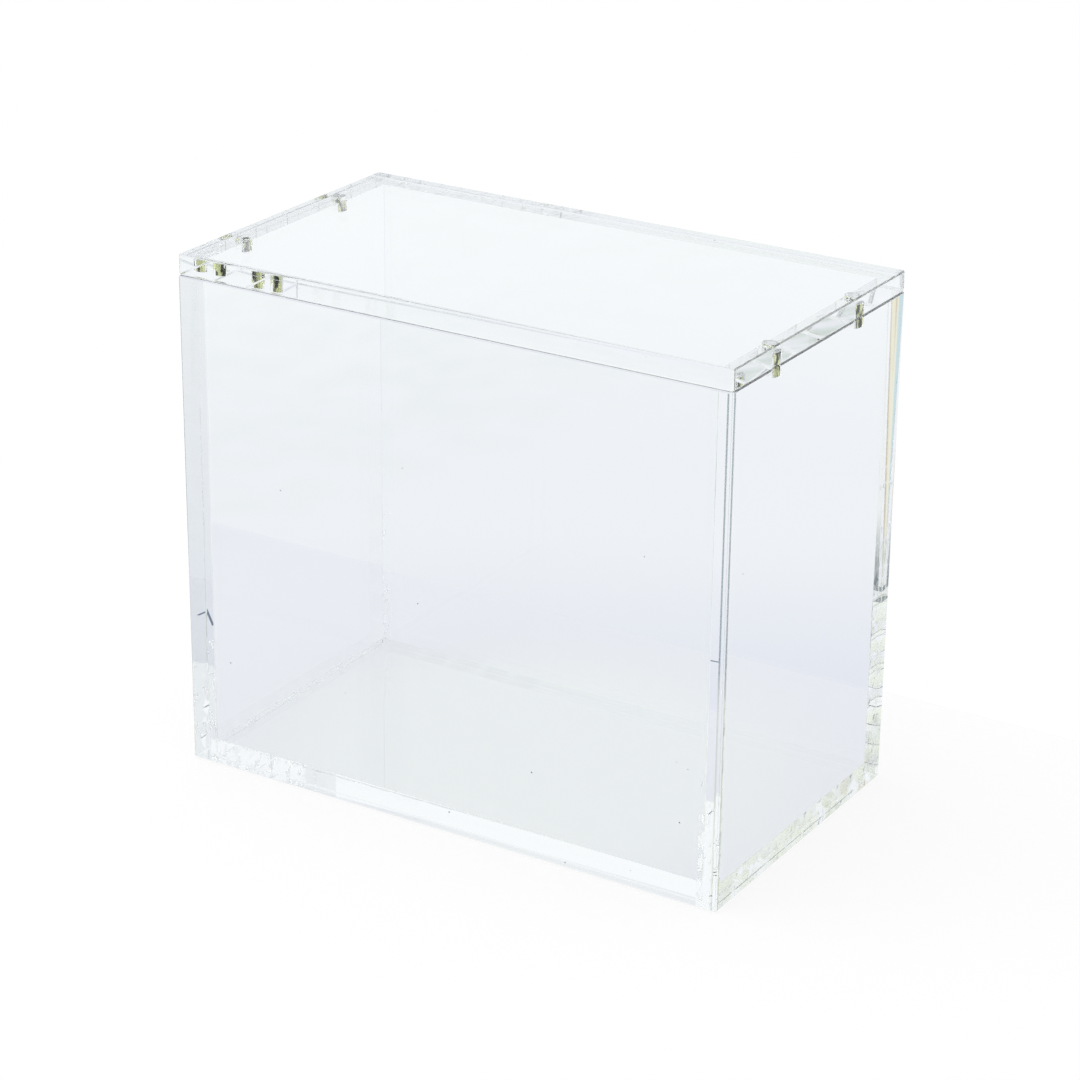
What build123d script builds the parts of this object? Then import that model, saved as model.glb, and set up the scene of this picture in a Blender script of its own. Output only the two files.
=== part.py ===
from build123d import *
import os

# A clear acrylic storage box: five bonded sheets, and a loose flat lid that four pairs of magnets hold.
# The origin is the middle of the underside. X runs along the long side, Y from front to back, Z up.

# Outside of the closed box
box_length = 205.0
box_depth = 115.0
closed_height = 181.0

# Sheet thicknesses
side_sheet = 7.0
face_sheet = 7.0
base_sheet = 7.0
lid_sheet = 7.0

# Rounding of the polished edges
edge_round = 0.6
corner_round = 1.2
lid_corner_round = 1.0

# Magnets, one pair above another, two to each short side
magnet_diameter = 5.0
magnet_length = 4.0
magnet_spacing = 55.0
magnet_inward = 0.4
magnet_edge_round = 0.2

# Clearances
magnet_hole_clearance = 0.1
lid_seam = 0.2

# Extra length of a cutter past the face that it opens
cut_overrun = 1.0

# Faces that the sheets share
right_outer = box_length / 2
right_inner = right_outer - side_sheet
back_outer = box_depth / 2
back_inner = back_outer - face_sheet
lid_underside = closed_height - lid_sheet
rim_height = lid_underside - lid_seam

# Magnet places: a little inward of the middle of the side sheets' thickness
magnet_x = right_outer - side_sheet / 2 - magnet_inward
magnet_y = magnet_spacing / 2
hole_radius = magnet_diameter / 2 + magnet_hole_clearance
corners = {"front_left": (-1, -1), "front_right": (1, -1), "back_left": (-1, 1), "back_right": (1, 1)}


def sheet(x_low, x_high, y_low, y_high, z_low, z_high):
    """A flat sheet between three pairs of faces."""
    return Pos((x_low + x_high) / 2, (y_low + y_high) / 2, (z_low + z_high) / 2) * Box(
        x_high - x_low, y_high - y_low, z_high - z_low
    )


def hole(side, end, z_low, z_high):
    """A cutter for one magnet hole: side is left or right, end is front or back."""
    length = z_high - z_low
    return Pos(side * magnet_x, end * magnet_y, z_low + length / 2) * Cylinder(hole_radius, length)


def side_panel(side):
    """A short side, full depth and full height, drilled from its rim for two magnets."""
    x_faces = sorted((side * right_inner, side * right_outer))
    panel = sheet(*x_faces, -back_outer, back_outer, 0, rim_height)
    # The inner face is bonded to the other sheets, so its four edges stay square
    outer_corners = panel.edges().filter_by(Axis.Z).group_by(Axis.X)[-1 if side > 0 else 0]
    panel = fillet(outer_corners, corner_round)
    inner_edges = panel.faces().sort_by(Axis.X)[0 if side > 0 else -1].edges()
    ends = panel.faces().sort_by(Axis.Z)
    rims = ends[0].edges() + ends[-1].edges()
    panel = fillet([edge for edge in rims if not any(edge.is_same(kept) for kept in inner_edges)], edge_round)
    # The wall magnets stand out of the rim by the seam, so the lid rests on them
    floor_of_hole = lid_underside - magnet_length
    for end in (-1, 1):
        panel -= hole(side, end, floor_of_hole, rim_height + cut_overrun)
    return panel


def face_panel(end):
    """The front or the back, fitted between the side panels."""
    y_faces = sorted((end * back_inner, end * back_outer))
    panel = sheet(-right_inner, right_inner, *y_faces, 0, rim_height)
    outer = panel.faces().sort_by(Axis.Y)[-1 if end > 0 else 0]
    return fillet(outer.edges().filter_by(Axis.X), edge_round)


def base_panel():
    """The bottom, inside the four walls and flush with their lower edges."""
    return sheet(-right_inner, right_inner, -back_inner, back_inner, 0, base_sheet)


def lid_plate():
    """The flat lid, as large as the box, drilled from below for four magnets."""
    plate = sheet(-right_outer, right_outer, -back_outer, back_outer, lid_underside, closed_height)
    plate = fillet(plate.edges().filter_by(Axis.Z), lid_corner_round)
    top = plate.faces().sort_by(Axis.Z)[-1]
    bottom = plate.faces().sort_by(Axis.Z)[0]
    plate = fillet(top.edges() + bottom.edges(), edge_round)
    for side, end in corners.values():
        plate -= hole(side, end, lid_underside - cut_overrun, lid_underside + magnet_length)
    return plate


def magnet(side, end, z_low):
    """One round magnet with softened rims, standing on z_low."""
    body = Pos(side * magnet_x, end * magnet_y, z_low + magnet_length / 2) * Cylinder(
        magnet_diameter / 2, magnet_length
    )
    return fillet(body.edges().filter_by(GeomType.CIRCLE), magnet_edge_round)


parts = {
    "left_panel": side_panel(-1),
    "right_panel": side_panel(1),
    "front_panel": face_panel(-1),
    "back_panel": face_panel(1),
    "base_panel": base_panel(),
    "lid_plate": lid_plate(),
}
for corner, (side, end) in corners.items():
    parts["wall_magnet_" + corner] = magnet(side, end, lid_underside - magnet_length)
    parts["lid_magnet_" + corner] = magnet(side, end, lid_underside)

os.makedirs("parts", exist_ok=True)
for node, solid in parts.items():
    export_step(solid, "parts/" + node + ".step")
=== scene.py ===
import math

import bpy
from mathutils import Matrix, Vector


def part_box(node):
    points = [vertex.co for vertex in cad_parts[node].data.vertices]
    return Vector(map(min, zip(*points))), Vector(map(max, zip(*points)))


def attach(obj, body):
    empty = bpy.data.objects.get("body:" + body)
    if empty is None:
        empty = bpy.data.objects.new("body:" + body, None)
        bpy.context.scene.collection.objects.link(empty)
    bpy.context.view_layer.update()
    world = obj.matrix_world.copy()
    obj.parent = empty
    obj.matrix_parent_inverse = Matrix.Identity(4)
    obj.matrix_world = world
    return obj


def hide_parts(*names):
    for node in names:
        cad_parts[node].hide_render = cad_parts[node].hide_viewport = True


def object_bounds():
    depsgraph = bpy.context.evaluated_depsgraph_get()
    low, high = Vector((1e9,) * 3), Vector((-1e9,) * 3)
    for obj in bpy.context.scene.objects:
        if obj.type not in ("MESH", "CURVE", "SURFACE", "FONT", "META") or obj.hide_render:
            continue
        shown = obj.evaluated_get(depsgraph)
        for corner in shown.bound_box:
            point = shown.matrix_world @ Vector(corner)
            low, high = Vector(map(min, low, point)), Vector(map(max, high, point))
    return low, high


bl_info = {
    "name": "Clear storage box with magnetic lid",
    "version": (1, 0, 0),
    "blender": (4, 5, 0),
    "location": "3D View > Sidebar > Storage Box",
    "description": "Builds the clear sheets, the magnets and the studio of a storage box",
    "category": "Object",
}

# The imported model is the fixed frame: every piece takes its place from it
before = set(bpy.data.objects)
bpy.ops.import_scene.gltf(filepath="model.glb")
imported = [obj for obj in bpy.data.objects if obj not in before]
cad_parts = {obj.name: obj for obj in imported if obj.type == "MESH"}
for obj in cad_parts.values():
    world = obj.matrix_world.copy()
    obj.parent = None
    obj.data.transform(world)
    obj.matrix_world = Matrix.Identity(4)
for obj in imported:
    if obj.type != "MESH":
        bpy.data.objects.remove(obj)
cad_low, cad_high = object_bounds()

# Faces that the sheets share, read from the frame
right_low, right_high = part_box("right_panel")
front_low, front_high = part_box("front_panel")
base_low, base_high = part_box("base_panel")
lid_low, lid_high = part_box("lid_plate")
magnet_low, magnet_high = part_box("lid_magnet_back_right")

side_inner = right_low.x
face_inner = -front_high.y
base_top = base_high.z
magnet_radius = (magnet_high.x - magnet_low.x) / 2

corners = {"front_left": (-1, -1), "front_right": (1, -1), "back_left": (-1, 1), "back_right": (1, 1)}

# How close a face has to lie to a plane to belong to it
touch = 2e-5

# Share along an axis: of a slight lean, of a face nearer level than upright, of a face that looks that way,
# of an edge that runs that way, and of a broad flat face
slight_share = 0.01
level_share = 0.5
facing_share = 0.9
running_share = 0.99
broad_share = 0.9999

# Facets across a round of the box's corners and of a magnet's rims, the angle that stays smooth, and how much
# more a large face counts than a small one
corner_segments = 2
rim_segments = 3
smooth_angle = math.radians(35)
flat_weight = 100

# Where the table's far, dimmer part begins: a line across it, by two of its points, and its soft border
dim_line = (Vector((-0.210, -0.228, 0)), Vector((-0.154, -0.464, 0)))
dim_border = 0.02

# Short dark strips that lie level with the table, by their ends, and their width: the sheets' ends show them
dark_strips = ((Vector((-0.1350, 0.1000, 0)), Vector((-0.1220, 0.0870, 0))),
               (Vector((-0.0726, 0.0915, 0)), Vector((-0.0718, 0.0985, 0))),
               (Vector((0.1350, 0.1570, 0)), Vector((0.1850, 0.1570, 0))))
strip_width = 0.0008

# Space between the box's back and the grey film behind it
film_gap = 0.0005

# How many faces a ray has met: more than the first once it has run along inside a sheet, no more than the
# second if that was from front to back, and more than the third once it has run from end to end
guided_depth = 6.5
film_depth = 12.5
card_depth = 20.5

# Shares of the dark card's height between which its foot colour turns to its top colour
card_rise = (0.02, 0.3)

# Where the stripe on the dark card lies, half its width, and where the glow beside it fades in and is full
stripe_aside = 0.00105
stripe_reach = 0.0002
glow_reach = (-0.0009, -0.0003)

# Width of the grey film in thicknesses of a side sheet, and the share of its height where its foot tint ends
film_width = 4
film_rise = 0.6

# The table's place under the box, its dull base, where its far colour begins, and its mottles
table_gap = 0.0002
table_base = (0.95, 0.95, 0.95)
far_border = (0.06, 0.13)
mottle_scale = 45.0
mottle_range = (0.35, 0.65)

# Where the backdrop changes, by a direction's share upwards, and where the room begins, by its share towards
# the camera
low_border = (-0.425, -0.375)
sky_border = (-0.36, -0.28)
room_border = (0.5, 0.85)

# What the surroundings give dull surfaces, and how many times light may bounce
fill_colour = (0.8, 0.8, 0.8)
bounce_limit = 64

# The lamp's place, its width and the point that it is turned to
lamp_place = (-0.3, -0.2, 1.2)
lamp_width = 0.9
lamp_aim = (0, 0, 0.09)

# The camera's sensor in millimetres, and how near it sees
sensor_width = 36
near_clip = 0.01


# Settings that a user may change

def length_setting(name, description, default):
    """A length, in metres."""
    return bpy.props.FloatProperty(name=name, description=description, default=default, unit="LENGTH")


def angle_setting(name, description, degrees):
    """An angle, given in degrees."""
    return bpy.props.FloatProperty(
        name=name, description=description, subtype="ANGLE", default=math.radians(degrees))


def colour_setting(name, description, default):
    """A colour or a tint, as linear shares of red, green and blue."""
    return bpy.props.FloatVectorProperty(
        name=name, description=description, default=default, subtype="COLOR", size=3, min=0, max=1)


class SheetSettings(bpy.types.PropertyGroup):
    """Sizes of the clear sheets that the frame leaves open."""
    edge_round: length_setting("Edge round", "Radius of the polished outer edges", 0.0006)
    corner_round: length_setting("Corner round", "Radius of the box's upright corners", 0.0004)
    flat_front: length_setting(
        "Flat along front", "How far the flat on the front right corner reaches along the front", 0.0014)
    flat_side: length_setting(
        "Flat along side", "How far the flat on the front right corner reaches along the side", 0.0008)
    flat_border: length_setting("Flat border", "Rounding along the front border of the flat", 0.0005)
    flat_side_border: length_setting("Side border", "Rounding along the side border of the flat", 0.0009)
    lid_corner_round: length_setting("Lid corner round", "Radius of the lid's four upright corners", 0.001)
    round_segments: bpy.props.IntProperty(
        name="Round segments", description="Facets across each rounded edge", default=4)
    bond_gap: length_setting(
        "Bond gap", "Space left between two bonded faces, filled by the solvent bond", 0.00001)
    joint_groove: length_setting(
        "Joint groove", "Width of the small groove along the inside of a joint", 0.0003)
    hole_clearance: length_setting("Hole clearance", "Space round each magnet in its hole", 0.0001)
    hole_facets: bpy.props.IntProperty(
        name="Hole facets", description="Facets round each magnet hole", default=64)


class AcrylicSettings(bpy.types.PropertyGroup):
    """Colours and finish of the clear acrylic."""
    clear_tint: colour_setting("Clear tint", "Tint that light takes at each face", (0.985, 0.995, 0.99))
    edge_tint: colour_setting("Edge tint", "Tint of the sheets' narrow cut edges", (0.965, 0.99, 0.98))
    # Painted shade: the next two tints darken the narrow rounds beside the flat of the front right corner.
    # They stand in for the dark lines that the light draws along them, and the foot tint is lighter and
    # yellower.
    painted_shade_tint: colour_setting(
        "Border tint", "Tint of the narrow rounds on the box's front corners", (0.20, 0.26, 0.27))
    painted_shade_foot_tint: colour_setting(
        "Border foot tint", "The same tint near the foot of the box", (0.66, 0.70, 0.59))
    dust_tint: colour_setting("Dust tint", "Colour of the dark dust specks", (0.16, 0.16, 0.18))
    bond_tint: colour_setting(
        "Bond tint", "Stained voids in the solvent bonds, low down", (0.94, 0.965, 0.84))
    pale_bond_tint: colour_setting("Pale bond tint", "Clear voids in the solvent bonds", (0.955, 0.975, 0.93))


class MagnetSettings(bpy.types.PropertyGroup):
    """Sizes and colours of the magnets."""
    rim_round: length_setting("Rim round", "Radius of a magnet's two rims", 0.0002)
    facets: bpy.props.IntProperty(name="Facets", description="Facets round a magnet", default=64)
    end_colour: colour_setting("End colour", "Nickel plate on the flat ends", (0.93, 0.94, 0.95))
    # The next two colours are painted reflection: upright streaks on the round side that stand in for the
    # surroundings mirrored in the nickel
    painted_reflection_colour: colour_setting("Side colour", "Nickel plate on the round side", (0.80, 0.84, 0.42))
    painted_dark_reflection_colour: colour_setting("Shade colour", "Dark streaks on the round side", (0.035, 0.04, 0.025))


class StageSettings(bpy.types.PropertyGroup):
    """The table, the things beside the box, the backdrop, the lamp and the camera."""
    table_colour: colour_setting(
        "Table colour", "Table under the box, as it shows through it", (0.876, 0.900, 0.922))
    far_table_colour: colour_setting(
        "Far table colour", "Table round the box, as it shows through it", (0.819, 0.827, 0.897))
    dim_table_colour: colour_setting(
        "Dim table colour", "Table's far left part, as it shows through the box", (0.52, 0.60, 0.55))
    strip_colour: colour_setting("Strip colour", "Short dark strips beside the box", (0.16, 0.20, 0.28))
    film_tint: colour_setting(
        "Film tint", "Grey film behind the left side sheet, at its middle and top", (0.912, 0.917, 0.918))
    film_foot_tint: colour_setting(
        "Film foot tint", "Grey film behind the left side sheet, at its foot", (0.882, 0.892, 0.907))
    card_colour: colour_setting("Card colour", "Foot of the dark card beside the box", (0.045, 0.08, 0.115))
    card_top_colour: colour_setting(
        "Card top colour", "Top of the dark card beside the box", (0.50, 0.68, 0.73))
    card_stripe_colour: colour_setting(
        "Card stripe colour", "Thin warm stripe up the dark card", (0.56, 0.46, 0.29))
    card_side_colour: colour_setting(
        "Card side colour", "Pale part of the dark card beyond its stripe", (0.86, 0.88, 0.87))
    card_glow_colour: colour_setting(
        "Card glow colour", "Pale yellow beside the stripe of the dark card", (0.86, 0.83, 0.62))
    low_backdrop_colour: colour_setting(
        "Low backdrop colour", "Foot of the backdrop, as it shows through the box", (0.785, 0.800, 0.885))
    backdrop_colour: colour_setting(
        "Backdrop colour", "Middle of the backdrop, as it shows through the box", (0.885, 0.900, 0.942))
    sky_colour: colour_setting(
        "Sky colour", "Top of the backdrop and the soft light above", (0.955, 0.97, 0.99))
    room_colour: colour_setting(
        "Room colour", "Darker room on the camera's side, as it shows in the box", (0.50, 0.53, 0.57))
    table_back: length_setting("Table back edge", "Where the table ends behind the box", 0.1205)
    card_place: bpy.props.FloatVectorProperty(
        name="Card place", description="Middle of the foot of the dark card beside the box", subtype="XYZ",
        size=3, default=(-0.1072, 0.040, 0.0))
    card_width: length_setting("Card width", "Width of the dark card", 0.0066)
    card_height: length_setting("Card height", "Height of the dark card", 0.12)
    table_reach: length_setting("Table reach", "How far the table runs to the other sides", 0.9)
    shadow_share: bpy.props.FloatProperty(
        name="Shadow share", description="Share of the table's light that the box can shade", default=0.12)
    lamp_power: bpy.props.FloatProperty(
        name="Lamp power", description="Power of the soft overhead lamp, in watts", default=6.0)
    view_azimuth: angle_setting("View azimuth", "Camera's place round the box, from the front", 31.54)
    view_elevation: angle_setting("View elevation", "Camera's height above the horizon", 22.45)
    view_roll: angle_setting("View roll", "Camera's lean to one side", 0.60)
    view_distance: length_setting("View distance", "From the middle of the box to the camera", 1.0896)
    view_right: length_setting("View right", "Camera's shift to its right", 0.00082)
    view_up: length_setting("View up", "Camera's shift upwards", -0.00605)
    focal_length: bpy.props.FloatProperty(
        name="Focal length", description="Lens on a 36 mm sensor, in millimetres", default=109.07)


# Modelling helpers

def clear_selection():
    """Leave edit mode and select nothing."""
    if bpy.context.object and bpy.context.object.mode != "OBJECT":
        bpy.ops.object.mode_set(mode="OBJECT")
    bpy.ops.object.select_all(action="DESELECT")


def make_active(piece):
    """Select one object alone and make it the active one."""
    clear_selection()
    piece.select_set(True)
    bpy.context.view_layer.objects.active = piece


def add_block(name, low, high):
    """Start a sheet as a cube between two corners, with its place in its mesh."""
    clear_selection()
    bpy.ops.mesh.primitive_cube_add(size=1, location=(low + high) / 2)
    block = bpy.context.object
    block.name = name
    block.scale = high - low
    bpy.ops.object.transform_apply(location=True, rotation=True, scale=True)
    return block


def add_stage_plane(name, size, place, turn=(0, 0, 0)):
    """A plane for the stage, with its place in its mesh."""
    clear_selection()
    bpy.ops.mesh.primitive_plane_add(size=1, location=place, rotation=turn)
    plane = bpy.context.object
    plane.name = name
    plane.scale = (*size, 1)
    bpy.ops.object.transform_apply(location=True, rotation=True, scale=True)
    return plane


def select_in_edit(piece, kind, chosen):
    """Open a mesh in edit mode with the faces or edges selected that pass a test on their corner places."""
    make_active(piece)
    bpy.ops.object.mode_set(mode="EDIT")
    bpy.ops.mesh.select_mode(type=kind)
    bpy.ops.mesh.select_all(action="DESELECT")
    bpy.ops.object.mode_set(mode="OBJECT")
    mesh = piece.data
    for element in mesh.edges if kind == "EDGE" else mesh.polygons:
        element.select = chosen([mesh.vertices[index].co for index in element.vertices])
    bpy.ops.object.mode_set(mode="EDIT")


def bevel_edges(piece, width, segments, chosen):
    """Round the edges that pass a test."""
    select_in_edit(piece, "EDGE", chosen)
    bpy.ops.mesh.bevel(offset_type="OFFSET", offset=width, segments=segments, profile=0.5, affect="EDGES")
    bpy.ops.object.mode_set(mode="OBJECT")


def split_faces(piece, chosen, point, normal):
    """Cut the faces that pass a test along a plane."""
    select_in_edit(piece, "FACE", chosen)
    bpy.ops.mesh.bisect(plane_co=point, plane_no=normal, use_fill=False)
    bpy.ops.object.mode_set(mode="OBJECT")


def all_on(axis, value):
    """A test that every corner lies on one plane across an axis."""
    return lambda places: all(abs(place[axis] - value) < touch for place in places)


def runs_along(axis, places):
    """Whether an edge runs along an axis."""
    step = places[1] - places[0]
    return abs(step[axis]) > running_share * step.length


def faces_along(axis, normal):
    """Whether a face looks mostly along an axis."""
    return abs(normal[axis]) > facing_share


def stands_upright(centre, normal):
    """Whether a face stands more upright than level."""
    return abs(normal.z) < level_share


def mark_faces(piece, name, chosen):
    """Write a face attribute that is 1 where the test on a face's centre and normal holds."""
    attribute = piece.data.attributes.new(name, "FLOAT", "FACE")
    for face in piece.data.polygons:
        attribute.data[face.index].value = 1.0 if chosen(face.center, face.normal) else 0.0


def shade_true(piece):
    """Shade the rounds smoothly and keep every flat face truly flat."""
    make_active(piece)
    bpy.ops.object.shade_smooth_by_angle(angle=smooth_angle)
    weighted = piece.modifiers.new("Flat faces", "WEIGHTED_NORMAL")
    weighted.weight = flat_weight
    weighted.keep_sharp = True
    bpy.ops.object.modifier_apply(modifier=weighted.name)


def turned_copy(piece, name):
    """A copy with its own mesh, half a turn round the upright axis."""
    make_active(piece)
    bpy.ops.object.duplicate(linked=False)
    copy = bpy.context.object
    copy.name = name
    copy.data.name = name
    copy.rotation_euler.z = math.pi
    bpy.ops.object.transform_apply(location=True, rotation=True, scale=True)
    return copy


def drill_hole(piece, side, end, z_low, z_high, radius, facets):
    """Drill one round flat-bottomed hole."""
    clear_selection()
    place = magnet_place(side, end)
    bpy.ops.mesh.primitive_cylinder_add(
        vertices=facets, radius=radius, depth=z_high - z_low,
        location=(place.x, place.y, (z_low + z_high) / 2))
    cutter = bpy.context.object
    make_active(piece)
    drill = piece.modifiers.new("Drill", "BOOLEAN")
    drill.operation = "DIFFERENCE"
    drill.solver = "EXACT"
    drill.object = cutter
    bpy.ops.object.modifier_apply(modifier=drill.name)
    make_active(cutter)
    bpy.ops.object.delete()


def magnet_place(side, end):
    """The axis of one magnet, seen from above."""
    middle = (magnet_low + magnet_high) / 2
    return Vector((side * abs(middle.x), end * abs(middle.y), 0))


def in_a_hole(centre, radius):
    """Whether a face belongs to the wall or the floor of a magnet hole."""
    over = Vector((centre.x, centre.y, 0))
    return centre.z > base_top and any(
        (over - magnet_place(side, end)).length < radius + touch for side, end in corners.values())


def borders_a_flat(centre, normal):
    """Whether a face belongs to an upright round in the front half of a side sheet, but not to the flat.
    These are the faces that carry painted shade in the cut edge finish.
    """
    sizes = bpy.context.scene.box_sheets
    flat_share = sizes.flat_side / math.hypot(sizes.flat_side, sizes.flat_front)
    in_front_half = centre.y < 0 and abs(centre.x) > side_inner + touch and centre.z < lid_low.z
    round_face = slight_share < abs(normal.x) < broad_share
    on_flat = abs(abs(normal.x) - flat_share) < 2 * slight_share
    return in_front_half and round_face and not on_flat and abs(normal.z) < slight_share


def dress_sheet(piece, node, body, bonded):
    """Give each kind of face its finish, and let the sheet stand for its node and ride on its body."""
    low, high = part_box(node)
    thin = min(range(3), key=lambda axis: (high - low)[axis])
    radius = magnet_radius + bpy.context.scene.box_sheets.hole_clearance
    shade_true(piece)
    piece.data.materials.clear()
    for name in sheet_finishes:
        piece.data.materials.append(finish(name))
    for face in piece.data.polygons:
        if bonded(face.center, face.normal):
            kind = "bonded_acrylic"
        elif in_a_hole(face.center, radius):
            kind = "drilled_acrylic"
        elif abs(face.normal[thin]) < broad_share:
            kind = "cut_acrylic"
        else:
            kind = "polished_acrylic"
        face.material_index = sheet_finishes.index(kind)
    mark_faces(piece, "end_bond", lambda centre, normal: faces_along(0, normal))
    mark_faces(piece, "hole_wall", stands_upright)
    # Mark the rounds beside the flat, which get painted shade in the cut edge finish
    mark_faces(piece, "flat_border", borders_a_flat)
    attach(piece, body)
    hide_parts(node)


# Shader helpers

def new_material(name):
    """An empty node material with its Principled shader and output."""
    material = bpy.data.materials.new(name)
    material.use_nodes = True
    return material, material.node_tree, material.node_tree.nodes["Principled BSDF"]


def wire(tree, source, target):
    """Give an input socket the output of another node, or a plain number, vector or colour."""
    if isinstance(source, bpy.types.NodeSocket):
        tree.links.new(source, target)
    else:
        target.default_value = (*source, 1) if target.type == "RGBA" else source


def math_node(tree, operation, *values):
    """A Math node. Each value is a number or an output socket."""
    node = tree.nodes.new("ShaderNodeMath")
    node.operation = operation
    for socket, value in zip(node.inputs, values):
        wire(tree, value, socket)
    return node.outputs["Value"]


def vector_node(tree, operation, first, second):
    """A Vector Math node with two vectors."""
    node = tree.nodes.new("ShaderNodeVectorMath")
    node.operation = operation
    for socket, value in zip(node.inputs, (first, second)):
        wire(tree, value, socket)
    return node.outputs["Value"] if operation in ("DISTANCE", "DOT_PRODUCT") else node.outputs["Vector"]


def ramp_node(tree, value, start, end):
    """A smooth step from 0 at start to 1 at end."""
    node = tree.nodes.new("ShaderNodeMapRange")
    node.interpolation_type = "SMOOTHSTEP"
    wire(tree, value, node.inputs["Value"])
    node.inputs["From Min"].default_value = start
    node.inputs["From Max"].default_value = end
    return node.outputs["Result"]


def noise_node(tree, vector, scale, detail=2.0):
    """A noise texture's plain value."""
    node = tree.nodes.new("ShaderNodeTexNoise")
    for name, value in (("Vector", vector), ("Scale", scale), ("Detail", detail)):
        wire(tree, value, node.inputs[name])
    return node.outputs["Fac"]


def cell_node(tree, vector, size):
    """A Voronoi pattern with cells of one size."""
    node = tree.nodes.new("ShaderNodeTexVoronoi")
    wire(tree, vector, node.inputs["Vector"])
    wire(tree, math_node(tree, "DIVIDE", 1.0, size), node.inputs["Scale"])
    return node


def mix_colour(tree, factor, first, second):
    """A mix of two colours, each a colour or an output socket."""
    node = tree.nodes.new("ShaderNodeMix")
    node.data_type = "RGBA"
    for name, value in (("Factor", factor), ("A", first), ("B", second)):
        wire(tree, value, next(s for s in node.inputs if s.name == name and s.enabled))
    return next(s for s in node.outputs if s.name == "Result" and s.enabled)


def new_group(name, inputs, outputs):
    """A node group from a vector and named values to named results. Gives its tree and its two end nodes."""
    tree = bpy.data.node_groups.new(name, "ShaderNodeTree")
    tree.interface.new_socket(name="Vector", in_out="INPUT", socket_type="NodeSocketVector")
    for label, default in inputs.items():
        socket = tree.interface.new_socket(name=label, in_out="INPUT", socket_type="NodeSocketFloat")
        socket.default_value = default
    for label in outputs:
        tree.interface.new_socket(name=label, in_out="OUTPUT", socket_type="NodeSocketFloat")
    return tree, tree.nodes.new("NodeGroupInput"), tree.nodes.new("NodeGroupOutput")


def place_group(tree, group, **values):
    """Put a node group in a material, with its values given by socket name."""
    node = tree.nodes.new("ShaderNodeGroup")
    node.node_tree = group
    for name, value in values.items():
        wire(tree, value, node.inputs[name])
    return node


def object_places(tree):
    """The piece's own coordinates, in metres."""
    return tree.nodes.new("ShaderNodeTexCoord").outputs["Object"]


def part_of(tree, vector, axis):
    """One part of a vector, X, Y or Z."""
    split = tree.nodes.new("ShaderNodeSeparateXYZ")
    wire(tree, vector, split.inputs["Vector"])
    return split.outputs[axis]


def emission(tree, colour):
    """A glow of one colour or one output socket."""
    node = tree.nodes.new("ShaderNodeEmission")
    wire(tree, colour, node.inputs["Color"])
    return node.outputs["Emission"]


def blend_surface(tree, factor, first, second):
    """Give the material's surface a blend of two shaders."""
    blend = tree.nodes.new("ShaderNodeMixShader")
    for socket, value in zip(blend.inputs, (factor, first, second)):
        wire(tree, value, socket)
    wire(tree, blend.outputs["Shader"], tree.nodes["Material Output"].inputs["Surface"])


def clear_shader(tree, tint=(1, 1, 1)):
    """A shader that lets light straight through, with a tint."""
    node = tree.nodes.new("ShaderNodeBsdfTransparent")
    wire(tree, tint, node.inputs["Color"])
    return node.outputs["BSDF"]


def face_mark(tree, name):
    """A face attribute as a value."""
    node = tree.nodes.new("ShaderNodeAttribute")
    node.attribute_name = name
    return node.outputs["Fac"]


# Effects for the finishes

# How the scratches' noise is turned and pressed, its middle value, and the patches that they lie in
scratch_turn = (0.5, 0.7, 0.4)
scratch_stretch = (1.0, 0.12, 0.6)
noise_middle = 0.5
scratch_patch_scale = 25.0
scratch_patch_range = (0.5, 0.62)

# How far the voids reach low down and high up, in shares of a cell, their soft border and their grain
low_void_reach = 0.80
high_void_reach = 0.05
void_border = 0.12
grain_scale = 260.0
grain_share = 1.5


def speck_group():
    """Fine dust: one speck in some of the cells of a Voronoi pattern."""
    tree, given, made = new_group(
        "Dust specks", {"Spacing": 0.012, "Size": 0.0003, "Share": 0.4}, ("Mask",))
    cells = cell_node(tree, given.outputs["Vector"], given.outputs["Spacing"])
    reach = math_node(tree, "MULTIPLY", cells.outputs["Distance"], given.outputs["Spacing"])
    split = tree.nodes.new("ShaderNodeSeparateColor")
    wire(tree, cells.outputs["Color"], split.inputs["Color"])
    size = math_node(tree, "MULTIPLY", given.outputs["Size"], split.outputs["Green"])
    speck = math_node(tree, "LESS_THAN", reach, size)
    kept = math_node(tree, "LESS_THAN", split.outputs["Red"], given.outputs["Share"])
    wire(tree, math_node(tree, "MULTIPLY", speck, kept), made.inputs["Mask"])
    return tree


def scratch_group():
    """Hairline scratches: thin bands of a stretched, warped noise."""
    tree, given, made = new_group("Fine scratches", {"Scale": 60.0, "Width": 0.01}, ("Mask",))
    stretch = tree.nodes.new("ShaderNodeMapping")
    wire(tree, given.outputs["Vector"], stretch.inputs["Vector"])
    stretch.inputs["Rotation"].default_value = scratch_turn
    stretch.inputs["Scale"].default_value = scratch_stretch
    value = noise_node(tree, stretch.outputs["Vector"], given.outputs["Scale"], detail=1.0)
    away = math_node(tree, "ABSOLUTE", math_node(tree, "SUBTRACT", value, noise_middle))
    line = math_node(tree, "LESS_THAN", away, given.outputs["Width"])
    patches = noise_node(tree, given.outputs["Vector"], scratch_patch_scale)
    patches = ramp_node(tree, patches, *scratch_patch_range)
    wire(tree, math_node(tree, "MULTIPLY", line, patches), made.inputs["Mask"])
    return tree


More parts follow.
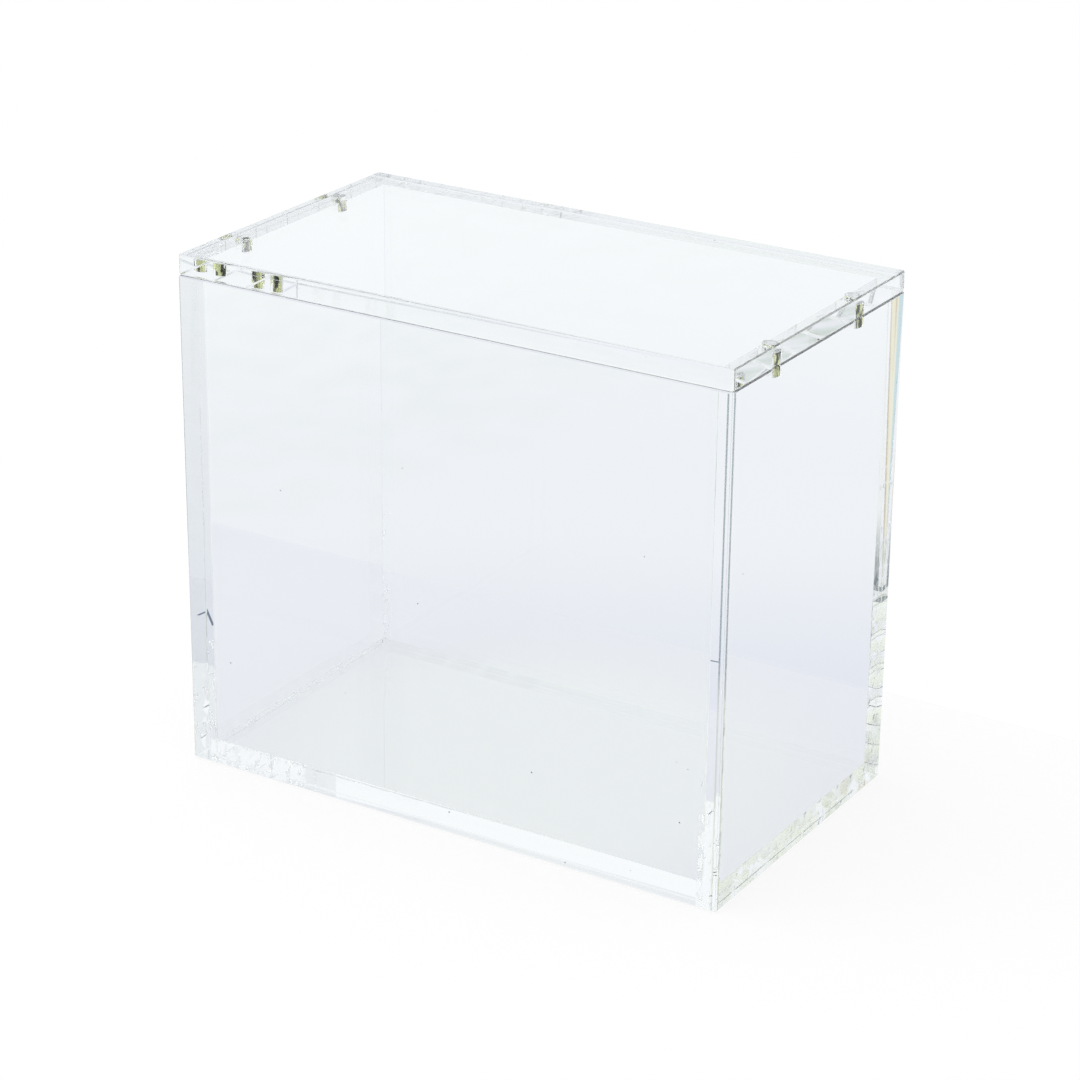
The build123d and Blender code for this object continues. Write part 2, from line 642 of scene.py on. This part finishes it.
def bond_void_group():
    """Voids in a solvent bond: rows of lens shapes and small bubbles, dense low down and thin higher up."""
    tree, given, made = new_group(
        "Bond voids", {"Cell": 0.006, "Low height": 0.008, "High height": 0.06}, ("Mask", "Height"))
    cells = cell_node(tree, given.outputs["Vector"], given.outputs["Cell"])
    rise = tree.nodes.new("ShaderNodeMapRange")
    wire(tree, part_of(tree, given.outputs["Vector"], "Z"), rise.inputs["Value"])
    wire(tree, given.outputs["Low height"], rise.inputs["From Min"])
    wire(tree, given.outputs["High height"], rise.inputs["From Max"])
    rise.inputs["To Min"].default_value = low_void_reach
    rise.inputs["To Max"].default_value = high_void_reach
    reach = math_node(tree, "SUBTRACT", rise.outputs["Result"], cells.outputs["Distance"])
    wire(tree, ramp_node(tree, reach, 0.0, void_border), made.inputs["Mask"])
    grain = math_node(tree, "MULTIPLY", noise_node(tree, given.outputs["Vector"], grain_scale), grain_share)
    wire(tree, math_node(tree, "ADD", reach, grain), made.inputs["Height"])
    return tree


# Finishes

# The light index, roughnesses, heights and reliefs in metres, and each pattern's scale and range
acrylic_index = 1.49
dust_roughness = 0.6
cast_scale = 60.0
cast_range = (0.35, 0.65)
edge_roughness = 0.03
# Heights where the painted shade on the rounds beside the flat turns from its lighter foot tint to its dark
# tint
painted_shade_fade = (0.070, 0.086)
stain_heights = (0.02, 0.004)
stain_scale = 130.0
stain_range = (0.42, 0.56)
bond_roughness = 0.06
bond_relief = 0.00014
glue_roughness = 0.02
glue_scale = 700.0
glue_range = (0.46, 0.52)
streak_press = 0.3
nickel_scale = 700.0
# Scale and range of the upright streaks of painted reflection on the magnets' round side
streak_scale = 600.0
streak_range = (0.44, 0.54)
nickel_roughness = 0.25
scratch_roughness = 0.2
nickel_relief = 0.00003


def glass_like(name):
    """A clear material with acrylic's index, and its colour still to be given."""
    material, tree, shader = new_material(name)
    shader.inputs["Transmission Weight"].default_value = 1.0
    shader.inputs["Metallic"].default_value = 0.0
    shader.inputs["IOR"].default_value = acrylic_index
    return material, tree, shader


def relief(tree, shader, height, depth):
    """A bump from a height in shares of a depth in metres."""
    bump = tree.nodes.new("ShaderNodeBump")
    bump.inputs["Distance"].default_value = depth
    wire(tree, height, bump.inputs["Height"])
    wire(tree, bump.outputs["Normal"], shader.inputs["Normal"])


def polished_material(specks):
    """The sheets' broad faces: mirror-like, with a few dark dust specks."""
    colours = bpy.context.scene.box_acrylic
    material, tree, shader = glass_like("polished_acrylic")
    dust = place_group(tree, specks, Vector=object_places(tree), Spacing=0.011, Size=0.0004, Share=0.3)
    wire(tree, mix_colour(tree, dust.outputs["Mask"], colours.clear_tint, colours.dust_tint),
         shader.inputs["Base Color"])
    wire(tree, math_node(tree, "MULTIPLY", dust.outputs["Mask"], dust_roughness), shader.inputs["Roughness"])
    return material


def cut_edge_material():
    """The sheets' narrow edges: flame polished, and a little greener than the broad faces. The rounds beside
    the flat of the front right corner carry painted shade, a dark tint that is lighter near the foot.
    """
    colours = bpy.context.scene.box_acrylic
    material, tree, shader = glass_like("cut_acrylic")
    cast = noise_node(tree, object_places(tree), cast_scale, detail=1.0)
    tint = mix_colour(tree, ramp_node(tree, cast, *cast_range), colours.edge_tint, colours.clear_tint)
    rise = ramp_node(tree, part_of(tree, object_places(tree), "Z"), *painted_shade_fade)
    # Painted shade on the rounds beside the flat: a dark tint for the dark lines along them, lighter near the
    # foot
    border = mix_colour(tree, rise, colours.painted_shade_foot_tint, colours.painted_shade_tint)
    wire(tree, mix_colour(tree, face_mark(tree, "flat_border"), tint, border), shader.inputs["Base Color"])
    wire(tree, math_node(tree, "MULTIPLY", cast, edge_roughness), shader.inputs["Roughness"])
    return material


def bonded_material(voids):
    """Bonded faces: sound, they pass light straight on as if the sheets were one, and voids show in them."""
    colours = bpy.context.scene.box_acrylic
    material, tree, shader = glass_like("bonded_acrylic")
    places = object_places(tree)
    void = place_group(tree, voids, Vector=places, Cell=0.006)
    mask = math_node(tree, "MULTIPLY", void.outputs["Mask"], face_mark(tree, "end_bond"))
    low = ramp_node(tree, part_of(tree, places, "Z"), *stain_heights)
    patches = ramp_node(tree, noise_node(tree, places, stain_scale), *stain_range)
    stained = math_node(tree, "MULTIPLY", low, patches)
    tint = mix_colour(tree, stained, colours.pale_bond_tint, colours.bond_tint)
    wire(tree, mix_colour(tree, mask, colours.clear_tint, tint), shader.inputs["Base Color"])
    shader.inputs["Roughness"].default_value = bond_roughness
    wire(tree, mask, shader.inputs["Alpha"])
    relief(tree, shader, void.outputs["Height"], bond_relief)
    return material


def drilled_material():
    """The walls of the magnet holes: glue fills them in upright streaks, with air left between."""
    material, tree, shader = glass_like("drilled_acrylic")
    shader.inputs["Roughness"].default_value = glue_roughness
    air = ramp_node(tree, noise_node(tree, upright_streaks(tree), glue_scale), *glue_range)
    wire(tree, math_node(tree, "MULTIPLY", air, face_mark(tree, "hole_wall")), shader.inputs["Alpha"])
    return material


def upright_streaks(tree):
    """The piece's own coordinates, pressed together in height, so that a noise on them runs upright."""
    stretch = tree.nodes.new("ShaderNodeMapping")
    wire(tree, object_places(tree), stretch.inputs["Vector"])
    stretch.inputs["Scale"].default_value = (1.0, 1.0, streak_press)
    return stretch.outputs["Vector"]


def nickel_material(scratches):
    """Nickel plate: bright ends, fine scratches and dull patches, and painted reflection on the round side:
    dark and yellow-green upright streaks that stand in for the surroundings mirrored there.
    """
    colours = bpy.context.scene.box_magnets
    material, tree, shader = new_material("nickel_plate")
    places = object_places(tree)
    hairs = place_group(tree, scratches, Vector=places, Scale=900.0, Width=0.02).outputs["Mask"]
    patches = noise_node(tree, places, nickel_scale, detail=4.0)
    # Painted reflection: dark and yellow-green upright streaks on the round side
    streaks = noise_node(tree, upright_streaks(tree), streak_scale, detail=3.0)
    painted_reflection = mix_colour(
        tree, ramp_node(tree, streaks, *streak_range), colours.painted_dark_reflection_colour, colours.painted_reflection_colour)
    plate = mix_colour(tree, face_mark(tree, "round_side"), colours.end_colour, painted_reflection)
    wire(tree, plate, shader.inputs["Base Color"])
    shader.inputs["Metallic"].default_value = 1.0
    dull = math_node(tree, "MULTIPLY", patches, nickel_roughness)
    rough = math_node(tree, "ADD", dull, math_node(tree, "MULTIPLY", hairs, scratch_roughness))
    wire(tree, rough, shader.inputs["Roughness"])
    relief(tree, shader, math_node(tree, "ADD", patches, hairs), nickel_relief)
    return material


sheet_finishes = ("polished_acrylic", "cut_acrylic", "bonded_acrylic", "drilled_acrylic")


def finish(name):
    """The box's finishes, made at the first call and found again later."""
    if name not in bpy.data.materials:
        polished_material(speck_group())
        cut_edge_material()
        bonded_material(bond_void_group())
        drilled_material()
        nickel_material(scratch_group())
    return bpy.data.materials[name]


# Operators, one for each kind of piece

class BOX_OT_side_sheets(bpy.types.Operator):
    """Model the two short sides, drilled from the rim for the wall magnets"""
    bl_idname = "storage_box.side_sheets"
    bl_label = "Side sheets"

    def execute(self, context):
        sizes = context.scene.box_sheets
        right = add_block("right_side_sheet", right_low, right_high)
        on_inner = all_on(0, side_inner)
        bevel_edges(right, sizes.corner_round, corner_segments,
                    lambda places: runs_along(2, places) and not on_inner(places))
        at_top, at_bottom = all_on(2, right_high.z), all_on(2, right_low.z)
        bevel_edges(right, sizes.edge_round, sizes.round_segments,
                    lambda places: (at_top(places) or at_bottom(places)) and not on_inner(places))
        for axis, plane in ((1, face_inner), (1, -face_inner), (2, base_top)):
            point = Vector((side_inner, 0, 0))
            point[axis] = plane
            normal = Vector((0, 0, 0))
            normal[axis] = 1
            split_faces(right, on_inner, point, normal)
        radius = magnet_radius + sizes.hole_clearance
        hole_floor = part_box("wall_magnet_back_right")[0].z
        for end in (-1, 1):
            drill_hole(right, 1, end, hole_floor, lid_high.z, radius, sizes.hole_facets)
        left = turned_copy(right, "left_side_sheet")
        self.flatten_corner(right, sizes)

        def bonded(centre, normal):
            on_plane = abs(abs(centre.x) - side_inner) < touch and faces_along(0, normal)
            return on_plane and (abs(centre.y) > face_inner or centre.z < base_top)

        for piece, node in ((right, "right_panel"), (left, "left_panel")):
            dress_sheet(piece, node, "box", bonded)
        return {"FINISHED"}

    def flatten_corner(self, piece, sizes):
        """Plane the front outer corner to an uneven flat and round the flat's two upright borders."""
        on_front = Vector((right_high.x - sizes.flat_front, right_low.y, 0))
        on_side = Vector((right_high.x, right_low.y + sizes.flat_side, 0))
        outwards = (on_side - on_front).cross(Vector((0, 0, 1))).normalized()
        make_active(piece)
        bpy.ops.object.mode_set(mode="EDIT")
        bpy.ops.mesh.select_mode(type="FACE")
        bpy.ops.mesh.select_all(action="SELECT")
        bpy.ops.mesh.bisect(plane_co=on_front, plane_no=outwards, use_fill=True, clear_outer=True,
                            threshold=touch)
        bpy.ops.object.mode_set(mode="OBJECT")
        for border, reach in ((on_front, sizes.flat_border), (on_side, sizes.flat_side_border)):
            bevel_edges(piece, reach, corner_segments, lambda places: (
                runs_along(2, places) and (places[0] - places[1]).length > sizes.flat_front
                and all((Vector((place.x, place.y, 0)) - border).length < touch for place in places)))


class BOX_OT_face_sheets(bpy.types.Operator):
    """Model the front and the back, fitted between the sides"""
    bl_idname = "storage_box.face_sheets"
    bl_label = "Front and back sheets"

    def execute(self, context):
        sizes = context.scene.box_sheets
        margin = Vector((sizes.bond_gap, 0, 0))
        front = add_block("front_sheet", front_low + margin, front_high - margin)
        on_outer = all_on(1, front_low.y)
        bevel_edges(front, sizes.edge_round, sizes.round_segments,
                    lambda places: on_outer(places) and runs_along(0, places))
        on_inner = all_on(1, -face_inner)
        bevel_edges(front, sizes.joint_groove, 1, lambda places: (
            on_inner(places) or on_outer(places)) and runs_along(2, places))
        split_faces(front, on_inner, (0, 0, base_top), (0, 0, 1))
        back = turned_copy(front, "back_sheet")

        def bonded(centre, normal):
            on_inner_face = abs(abs(centre.y) - face_inner) < touch and faces_along(1, normal)
            return faces_along(0, normal) or (on_inner_face and centre.z < base_top)

        for piece, node in ((front, "front_panel"), (back, "back_panel")):
            dress_sheet(piece, node, "box", bonded)
        return {"FINISHED"}


class BOX_OT_base_sheet(bpy.types.Operator):
    """Model the base, inside the four walls"""
    bl_idname = "storage_box.base_sheet"
    bl_label = "Base sheet"

    def execute(self, context):
        sizes = context.scene.box_sheets
        margin = Vector((sizes.bond_gap, sizes.bond_gap, 0))
        base = add_block("base_sheet", base_low + margin, base_high - margin)
        bevel_edges(base, sizes.joint_groove, 1,
                    lambda places: all(place.z < touch for place in places))

        def bonded(centre, normal):
            return faces_along(0, normal) or faces_along(1, normal)

        dress_sheet(base, "base_panel", "box", bonded)
        return {"FINISHED"}


class BOX_OT_lid_sheet(bpy.types.Operator):
    """Model the loose lid, drilled from below for its magnets"""
    bl_idname = "storage_box.lid_sheet"
    bl_label = "Lid sheet"

    def execute(self, context):
        sizes = context.scene.box_sheets
        lid = add_block("lid_sheet", lid_low, lid_high)
        bevel_edges(lid, sizes.lid_corner_round, sizes.round_segments,
                    lambda places: runs_along(2, places))
        at_top, at_bottom = all_on(2, lid_high.z), all_on(2, lid_low.z)
        bevel_edges(lid, sizes.edge_round, sizes.round_segments,
                    lambda places: at_top(places) or at_bottom(places))
        radius = magnet_radius + sizes.hole_clearance
        for side, end in corners.values():
            drill_hole(lid, side, end, lid_low.z - sizes.edge_round, magnet_high.z, radius, sizes.hole_facets)
        dress_sheet(lid, "lid_plate", "lid", lambda centre, normal: False)
        return {"FINISHED"}


class BOX_OT_magnets(bpy.types.Operator):
    """Model one round magnet and set a copy in each hole"""
    bl_idname = "storage_box.magnets"
    bl_label = "Magnets"

    def execute(self, context):
        sizes = context.scene.box_magnets
        clear_selection()
        bpy.ops.mesh.primitive_cylinder_add(
            vertices=sizes.facets, radius=magnet_radius, depth=magnet_high.z - magnet_low.z)
        pattern = bpy.context.object
        pattern.name = "magnet_pattern"
        bevel_edges(pattern, sizes.rim_round, rim_segments, lambda places: not runs_along(2, places))
        # The round side gets the painted reflection of the nickel finish
        mark_faces(pattern, "round_side", stands_upright)
        shade_true(pattern)
        pattern.data.materials.append(finish("nickel_plate"))
        for corner in corners:
            for node, body in (("wall_magnet_" + corner, "box"), ("lid_magnet_" + corner, "lid")):
                self.set_magnet(pattern, node, body)
        make_active(pattern)
        bpy.ops.object.delete()
        return {"FINISHED"}

    def set_magnet(self, pattern, node, body):
        """Copy the pattern into the place of one magnet of the frame."""
        low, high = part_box(node)
        make_active(pattern)
        bpy.ops.object.duplicate(linked=False)
        magnet = bpy.context.object
        magnet.name = node.replace("magnet", "magnet_disc")
        magnet.data.name = magnet.name
        magnet.location = (low + high) / 2
        bpy.ops.object.transform_apply(location=True, rotation=True, scale=True)
        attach(magnet, body)
        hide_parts(node)


class BOX_OT_stage(bpy.types.Operator):
    """Set up the table, the things beside the box, the backdrop, the lamp and the camera"""
    bl_idname = "storage_box.stage"
    bl_label = "Stage"

    def execute(self, context):
        settings = context.scene.box_stage
        scene = context.scene
        self.add_table(settings)
        self.add_film(settings)
        self.add_strips(settings)
        self.add_card(settings)
        self.add_world(scene, settings)
        self.add_lamp(settings)
        self.add_camera(scene, settings)
        scene.view_settings.view_transform = "Standard"
        for name in ("max_bounces", "transmission_bounces", "glossy_bounces", "transparent_max_bounces"):
            setattr(scene.cycles, name, bounce_limit)
        return {"FINISHED"}

    def add_table(self, settings):
        """A pale table top: white to the camera, its own colour through the box, with a soft shadow."""
        reach, back = settings.table_reach, settings.table_back
        table = add_stage_plane(
            "table", (2 * reach, reach + back), (0, (back - reach) / 2, cad_low.z - table_gap))
        material, tree, shader = new_material("table")
        shader.inputs["Base Color"].default_value = (*table_base, 1)
        shader.inputs["Specular IOR Level"].default_value = 0.0
        places = object_places(tree)
        far = ramp_node(tree, vector_node(tree, "DISTANCE", places, (0, 0, 0)), *far_border)
        through_box = mix_colour(tree, far, settings.table_colour, settings.far_table_colour)
        start, end = dim_line
        across = (end - start).cross(Vector((0, 0, 1))).normalized()
        beyond = vector_node(tree, "DOT_PRODUCT", places, across)
        beyond = math_node(tree, "SUBTRACT", beyond, start.dot(across))
        mottles = ramp_node(tree, noise_node(tree, places, mottle_scale, detail=1.0), *mottle_range)
        mottled = mix_colour(tree, mottles, settings.dim_table_colour, settings.far_table_colour)
        through_box = mix_colour(tree, ramp_node(tree, beyond, -dim_border, dim_border), through_box, mottled)
        rays = tree.nodes.new("ShaderNodeLightPath")
        seen = mix_colour(tree, rays.outputs["Is Camera Ray"], through_box, (1, 1, 1))
        blend_surface(tree, settings.shadow_share, emission(tree, seen), shader.outputs["BSDF"])
        table.data.materials.append(material)

    def add_film(self, settings):
        """A thin grey film behind the left side sheet, which dims only the light along inside that sheet."""
        height = right_high.z
        film = add_stage_plane("grey_film", (film_width * (right_high.x - side_inner), height),
                               (-right_high.x, right_high.y + film_gap, height / 2), (math.pi / 2, 0, 0))
        material, tree, shader = new_material("grey_film")
        tree.nodes.remove(shader)
        rise = ramp_node(tree, part_of(tree, object_places(tree), "Z"), 0.0, film_rise * height)
        tint = mix_colour(tree, rise, settings.film_foot_tint, settings.film_tint)
        depth = tree.nodes.new("ShaderNodeLightPath").outputs["Ray Depth"]
        guided = math_node(tree, "GREATER_THAN", depth, guided_depth)
        guided = math_node(tree, "MULTIPLY", guided, math_node(tree, "LESS_THAN", depth, film_depth))
        dimmed = clear_shader(tree, mix_colour(tree, guided, (1, 1, 1), tint))
        wire(tree, dimmed, tree.nodes["Material Output"].inputs["Surface"])
        film.data.materials.append(material)

    def add_strips(self, settings):
        """Short dark strips beside the box that only the light along inside the sheets shows."""
        material, tree, shader = new_material("dark_strip")
        tree.nodes.remove(shader)
        rays = tree.nodes.new("ShaderNodeLightPath")
        guided = math_node(tree, "GREATER_THAN", rays.outputs["Ray Depth"], guided_depth)
        seen = math_node(tree, "MULTIPLY", guided, rays.outputs["Is Transmission Ray"])
        blend_surface(tree, seen, clear_shader(tree), emission(tree, settings.strip_colour))
        for number, (start, end) in enumerate(dark_strips, 1):
            along = end - start
            strip = add_stage_plane(f"dark_strip_{number}", (along.length, strip_width), (start + end) / 2,
                                    (0, 0, math.atan2(along.y, along.x)))
            strip.data.materials.append(material)

    def add_card(self, settings):
        """A narrow dark card beside the box, seen from one side alone, by light along the back sheet."""
        foot = Vector(settings.card_place)
        card = add_stage_plane("dark_card", (settings.card_width, settings.card_height),
                               foot + Vector((0, 0, settings.card_height / 2)), (-math.pi / 2, 0, 0))
        material, tree, shader = new_material("dark_card")
        tree.nodes.remove(shader)
        places = object_places(tree)
        foot_end, top_start = (settings.card_height * share for share in card_rise)
        rise = ramp_node(tree, part_of(tree, places, "Z"), foot_end, top_start)
        aside = math_node(tree, "SUBTRACT", part_of(tree, places, "X"), foot.x - stripe_aside)
        upper = mix_colour(tree, ramp_node(tree, aside, *glow_reach), settings.card_top_colour,
                           settings.card_glow_colour)
        inner = ramp_node(tree, aside, -stripe_reach, stripe_reach)
        lower = mix_colour(tree, inner, upper, settings.card_colour)
        beside = ramp_node(tree, aside, stripe_reach / 2, stripe_reach)
        upper = mix_colour(tree, beside, upper, settings.card_side_colour)
        stripe = ramp_node(tree, math_node(tree, "ABSOLUTE", aside), stripe_reach, stripe_reach / 2)
        upper = mix_colour(tree, stripe, upper, settings.card_stripe_colour)
        colour = mix_colour(tree, rise, lower, upper)
        rays = tree.nodes.new("ShaderNodeLightPath")
        unseen = math_node(tree, "LESS_THAN", rays.outputs["Ray Depth"], card_depth)
        for kind in ("Is Camera Ray", "Is Shadow Ray", "Is Diffuse Ray"):
            unseen = math_node(tree, "MAXIMUM", unseen, rays.outputs[kind])
        back = tree.nodes.new("ShaderNodeNewGeometry").outputs["Backfacing"]
        unseen = math_node(tree, "MAXIMUM", unseen, back)
        blend_surface(tree, unseen, emission(tree, colour), clear_shader(tree))
        card.data.materials.append(material)

    def add_world(self, scene, settings):
        """White to the camera, the backdrop's colour through the box, and plain soft light."""
        world = bpy.data.worlds.new("studio")
        scene.world = world
        world.use_nodes = True
        tree = world.node_tree
        background = tree.nodes["Background"]
        rays = tree.nodes.new("ShaderNodeLightPath")
        direction = tree.nodes.new("ShaderNodeTexCoord").outputs["Generated"]
        upwards = part_of(tree, direction, "Z")
        around = mix_colour(tree, ramp_node(tree, upwards, *low_border), settings.low_backdrop_colour,
                            settings.backdrop_colour)
        around = mix_colour(tree, ramp_node(tree, upwards, *sky_border), around, settings.sky_colour)
        room_side = Vector((math.sin(settings.view_azimuth), -math.cos(settings.view_azimuth), 0))
        facing = vector_node(tree, "DOT_PRODUCT", direction, room_side)
        around = mix_colour(tree, ramp_node(tree, facing, *room_border), around, settings.room_colour)
        colour = mix_colour(tree, rays.outputs["Is Camera Ray"], around, (1, 1, 1))
        wire(tree, mix_colour(tree, rays.outputs["Is Diffuse Ray"], colour, fill_colour),
             background.inputs["Color"])

    def add_lamp(self, settings):
        """One large soft lamp overhead."""
        clear_selection()
        bpy.ops.object.light_add(type="AREA", location=lamp_place)
        lamp = bpy.context.object
        lamp.name = "overhead_lamp"
        lamp.data.shape = "DISK"
        lamp.data.size = lamp_width
        lamp.data.energy = settings.lamp_power
        lamp.visible_glossy = lamp.visible_transmission = False
        aim = Vector(lamp_aim) - lamp.location
        lamp.rotation_euler = aim.to_track_quat("-Z", "Y").to_euler()

    def add_camera(self, scene, settings):
        """The camera at the photograph's viewing angle."""
        clear_selection()
        bpy.ops.object.camera_add()
        camera = bpy.context.object
        azimuth, elevation, roll = settings.view_azimuth, settings.view_elevation, settings.view_roll
        back = Vector((math.sin(azimuth) * math.cos(elevation), -math.cos(azimuth) * math.cos(elevation),
                       math.sin(elevation)))
        level_right = Vector((math.cos(azimuth), math.sin(azimuth), 0))
        level_up = back.cross(level_right)
        right = level_right * math.cos(roll) + level_up * math.sin(roll)
        up = level_up * math.cos(roll) - level_right * math.sin(roll)
        middle = Vector((0, 0, (cad_low.z + cad_high.z) / 2))
        place = (middle + back * settings.view_distance + level_right * settings.view_right
                 + level_up * settings.view_up)
        turn = Matrix((right, up, back)).transposed()
        camera.matrix_world = Matrix.Translation(place) @ turn.to_4x4()
        camera.data.sensor_width = sensor_width
        camera.data.lens = settings.focal_length
        camera.data.clip_start = near_clip
        scene.camera = camera


class BOX_PT_panel(bpy.types.Panel):
    """The box's settings and build steps"""
    bl_label = "Storage box"
    bl_idname = "BOX_PT_panel"
    bl_space_type = "VIEW_3D"
    bl_region_type = "UI"
    bl_category = "Storage Box"

    def draw(self, context):
        layout = self.layout
        for group, steps in (
            ("box_sheets", (BOX_OT_side_sheets, BOX_OT_face_sheets, BOX_OT_base_sheet, BOX_OT_lid_sheet)),
            ("box_acrylic", ()),
            ("box_magnets", (BOX_OT_magnets,)),
            ("box_stage", (BOX_OT_stage,)),
        ):
            settings = getattr(context.scene, group)
            column = layout.column()
            for name in settings.__annotations__:
                column.prop(settings, name)
            for step in steps:
                column.operator(step.bl_idname)


build_steps = (BOX_OT_side_sheets, BOX_OT_face_sheets, BOX_OT_base_sheet, BOX_OT_lid_sheet, BOX_OT_magnets,
               BOX_OT_stage)
setting_groups = {
    "box_sheets": SheetSettings,
    "box_acrylic": AcrylicSettings,
    "box_magnets": MagnetSettings,
    "box_stage": StageSettings,
}


def register():
    for name, group in setting_groups.items():
        bpy.utils.register_class(group)
        setattr(bpy.types.Scene, name, bpy.props.PointerProperty(type=group))
    for step in build_steps:
        bpy.utils.register_class(step)
    bpy.utils.register_class(BOX_PT_panel)


def unregister():
    bpy.utils.unregister_class(BOX_PT_panel)
    for step in reversed(build_steps):
        bpy.utils.unregister_class(step)
    for name, group in setting_groups.items():
        delattr(bpy.types.Scene, name)
        bpy.utils.unregister_class(group)


def main():
    register()
    for step in build_steps:
        module, operator = step.bl_idname.split(".")
        getattr(getattr(bpy.ops, module), operator)()


if __name__ == "__main__":
    main()
